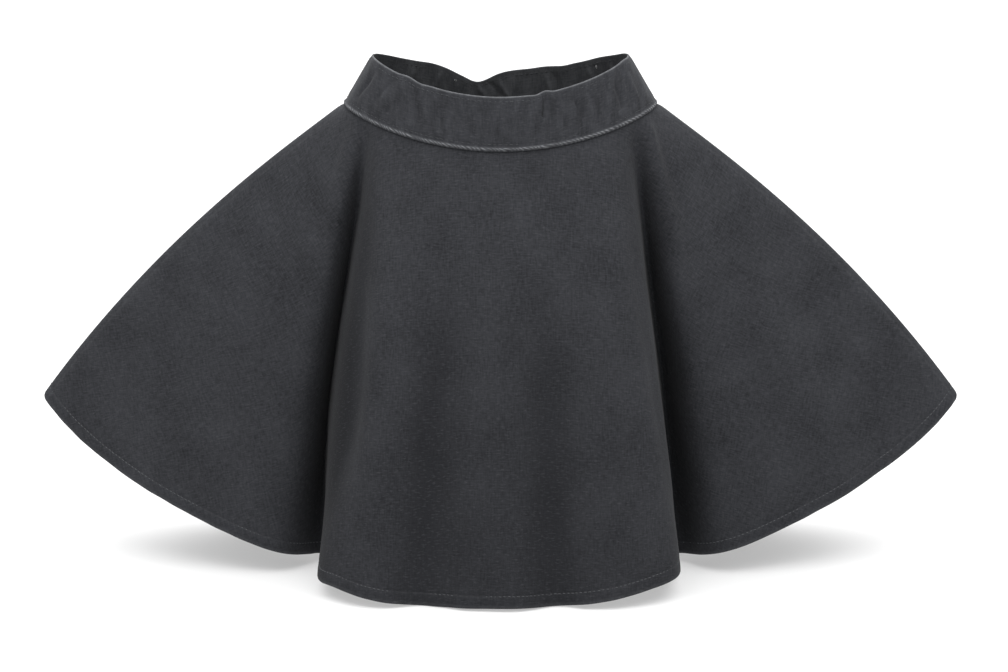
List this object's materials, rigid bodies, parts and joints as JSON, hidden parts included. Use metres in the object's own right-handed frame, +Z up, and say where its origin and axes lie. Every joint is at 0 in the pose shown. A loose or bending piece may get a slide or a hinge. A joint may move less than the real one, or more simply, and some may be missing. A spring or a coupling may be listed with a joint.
{
  "type": "a-line skirt",
  "caption": "Girl's flared A-line skirt in plain washed charcoal cotton with a curved waistband, filled out as worn, hollow and open at waist and hem.",
  "frame": {"origin": "middle of the waist opening, level with the middle of the waistband at its side seams", "axes": "+Z up along the wearer, -Y out of the skirt's front, +X to the right as the front is looked at"},
  "size_m": [0.7038, 0.3227, 0.3846],
  "materials": {
    "cloth": "matt washed cotton canvas, charcoal",
    "band_cloth": "matt washed cotton canvas, charcoal, doubled"
  },
  "bodies": {
    "root": {"skirt_front": "cloth", "skirt_back": "cloth", "waistband_front": "band_cloth", "waistband_back": "band_cloth"}
  },
  "joints": []
}
